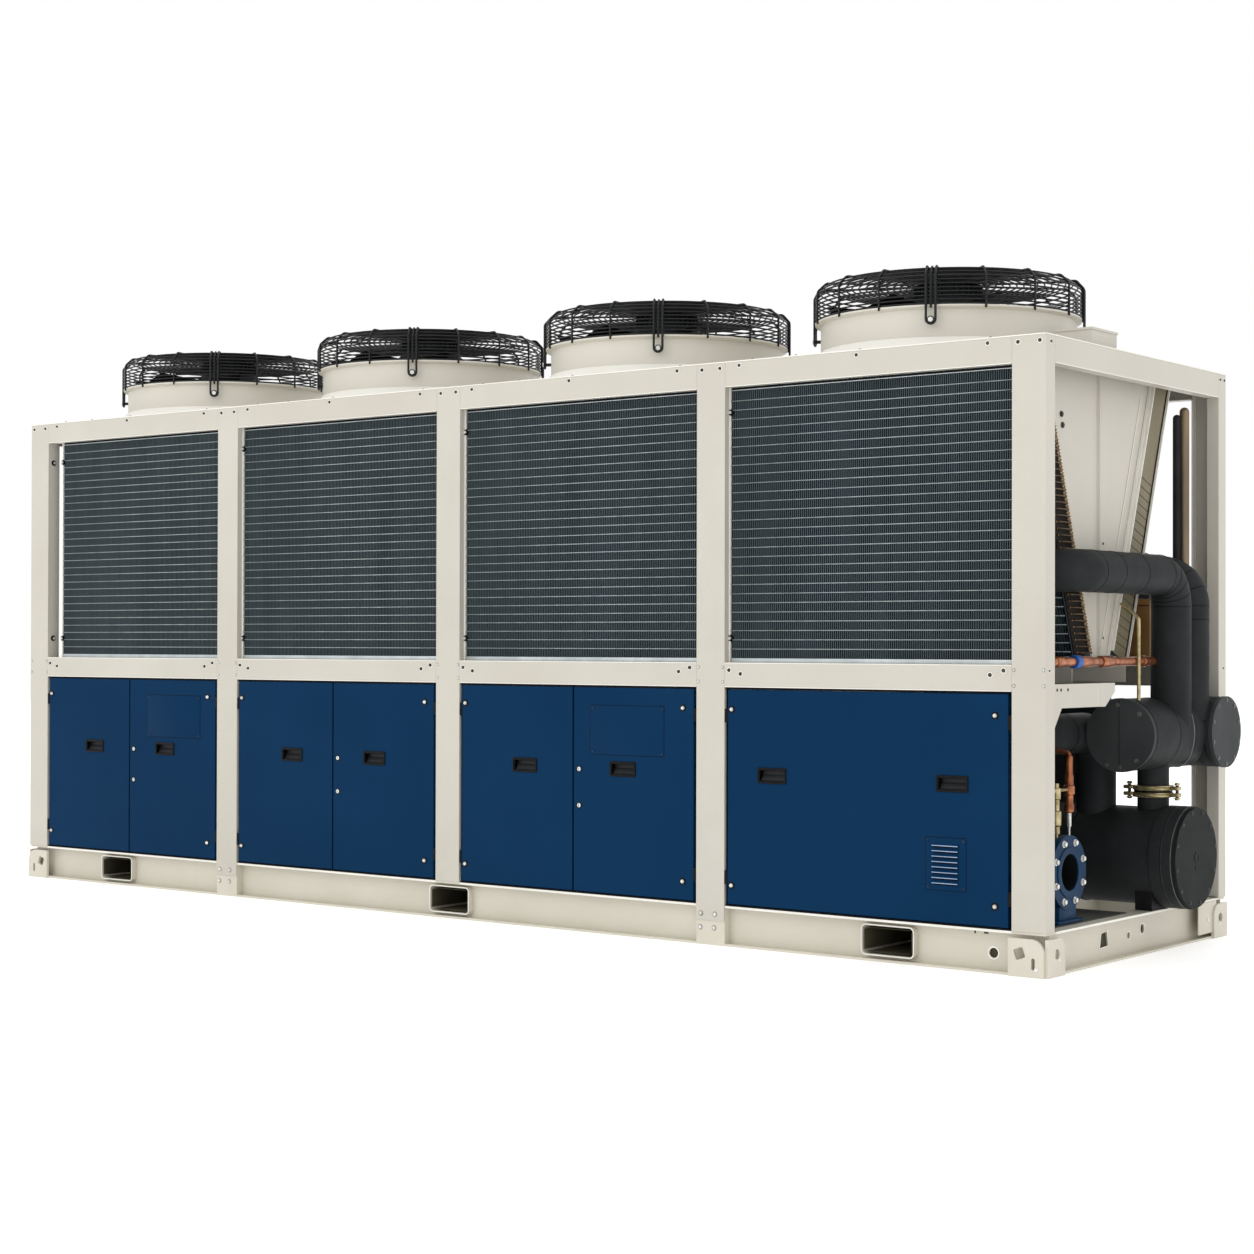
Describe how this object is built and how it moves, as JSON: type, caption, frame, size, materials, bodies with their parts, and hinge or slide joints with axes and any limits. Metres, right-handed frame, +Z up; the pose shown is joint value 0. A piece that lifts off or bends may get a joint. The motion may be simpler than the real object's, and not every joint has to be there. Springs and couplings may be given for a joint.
{
  "type": "air cooled water chiller",
  "caption": "Long packaged water chiller: cream steel frame, finned coil V under guarded roof fans, hinged blue doors and black insulated pipework at one end.",
  "frame": {"origin": "centre of the footprint, on the ground under the base", "axes": "+X towards the piped end along the length, -Y towards the front with the doors, +Z up"},
  "size_m": [5.361, 1.456, 2.4],
  "materials": {
    "cream_paint": "satin powder coat",
    "floor_paint": "satin",
    "coil_fins": "coated fins",
    "guard_black": "satin black coat",
    "motor_grey": "satin",
    "fan_black": "moulded",
    "black_plastic": "matte",
    "blue_paint": "satin powder coat",
    "black_insulation": "matte foam jacket",
    "saddle_black": "satin",
    "clamp_brass": "zinc passivated",
    "copper": "bare copper",
    "pipe_steel": "bare, dull"
  },
  "bodies": {
    "chassis": {"base_side_beams": "cream_paint", "base_end_beams": "cream_paint", "base_cross_beams": "cream_paint", "base_floor": "floor_paint", "fork_tubes": "cream_paint", "lifting_plates": "cream_paint", "post_feet": "cream_paint", "front_posts": "cream_paint", "rear_posts": "cream_paint", "front_rails": "cream_paint", "rear_rails": "cream_paint", "end_rails": "cream_paint", "coil_bearers": "cream_paint", "compartment_roof": "cream_paint", "coil_tray": "cream_paint", "front_coils": "coil_fins", "rear_coils": "coil_fins", "coil_end_panels": "cream_paint", "front_grilles": "coil_fins", "fan_deck": "cream_paint", "fan_cowls": "cream_paint", "fan_guards_left": "guard_black", "fan_guards_right": "guard_black", "fan_motors": "motor_grey", "deck_box": "cream_paint", "hinge_brackets": "black_plastic", "service_panel": "blue_paint", "service_panel_fittings": "black_plastic", "rear_panels": "blue_paint", "left_end_panel": "blue_paint", "evaporator": "black_insulation", "evaporator_caps": "black_insulation", "evaporator_saddles": "saddle_black", "water_header": "black_insulation", "header_caps": "black_insulation", "header_neck": "black_insulation", "neck_clamp": "clamp_brass", "upper_pipe": "black_insulation", "rear_pipe": "black_insulation", "return_pipe": "black_insulation", "pump": "blue_paint", "copper_line": "copper", "rear_standpipe": "pipe_steel"},
    "fan_1": {"fan_rotor_1": "fan_black"},
    "fan_2": {"fan_rotor_2": "fan_black"},
    "fan_3": {"fan_rotor_3": "fan_black"},
    "fan_4": {"fan_rotor_4": "fan_black"},
    "door_1_left_leaf": {"door_1_left": "blue_paint", "door_1_left_fittings": "black_plastic"},
    "door_1_right_leaf": {"door_1_right": "blue_paint", "door_1_right_fittings": "black_plastic"},
    "door_2_left_leaf": {"door_2_left": "blue_paint", "door_2_left_fittings": "black_plastic"},
    "door_2_right_leaf": {"door_2_right": "blue_paint", "door_2_right_fittings": "black_plastic"},
    "door_3_left_leaf": {"door_3_left": "blue_paint", "door_3_left_fittings": "black_plastic"},
    "door_3_right_leaf": {"door_3_right": "blue_paint", "door_3_right_fittings": "black_plastic"}
  },
  "joints": [
    {"name": "fan_1_spin", "type": "hinge", "parent": "chassis", "child": "fan_1", "pos_m": [-1.969, -0.132, 2.295], "axis": [0, 0, 1], "continuous": true},
    {"name": "fan_2_spin", "type": "hinge", "parent": "chassis", "child": "fan_2", "pos_m": [-0.687, -0.132, 2.295], "axis": [0, 0, 1], "continuous": true},
    {"name": "fan_3_spin", "type": "hinge", "parent": "chassis", "child": "fan_3", "pos_m": [0.595, -0.132, 2.295], "axis": [0, 0, 1], "continuous": true},
    {"name": "fan_4_spin", "type": "hinge", "parent": "chassis", "child": "fan_4", "pos_m": [1.877, -0.132, 2.295], "axis": [0, 0, 1], "continuous": true},
    {"name": "door_1_left_hinge", "type": "hinge", "parent": "chassis", "child": "door_1_left_leaf", "pos_m": [-2.5405, -0.715, 0.54], "axis": [0, 0, -1], "range_deg": [0, 90]},
    {"name": "door_1_right_hinge", "type": "hinge", "parent": "chassis", "child": "door_1_right_leaf", "pos_m": [-1.3975, -0.715, 0.54], "axis": [0, 0, 1], "range_deg": [0, 90]},
    {"name": "door_2_left_hinge", "type": "hinge", "parent": "chassis", "child": "door_2_left_leaf", "pos_m": [-1.2585, -0.715, 0.54], "axis": [0, 0, -1], "range_deg": [0, 90]},
    {"name": "door_2_right_hinge", "type": "hinge", "parent": "chassis", "child": "door_2_right_leaf", "pos_m": [-0.1155, -0.715, 0.54], "axis": [0, 0, 1], "range_deg": [0, 90]},
    {"name": "door_3_left_hinge", "type": "hinge", "parent": "chassis", "child": "door_3_left_leaf", "pos_m": [0.0235, -0.715, 0.54], "axis": [0, 0, -1], "range_deg": [0, 90]},
    {"name": "door_3_right_hinge", "type": "hinge", "parent": "chassis", "child": "door_3_right_leaf", "pos_m": [1.1665, -0.715, 0.54], "axis": [0, 0, 1], "range_deg": [0, 90]}
  ]
}
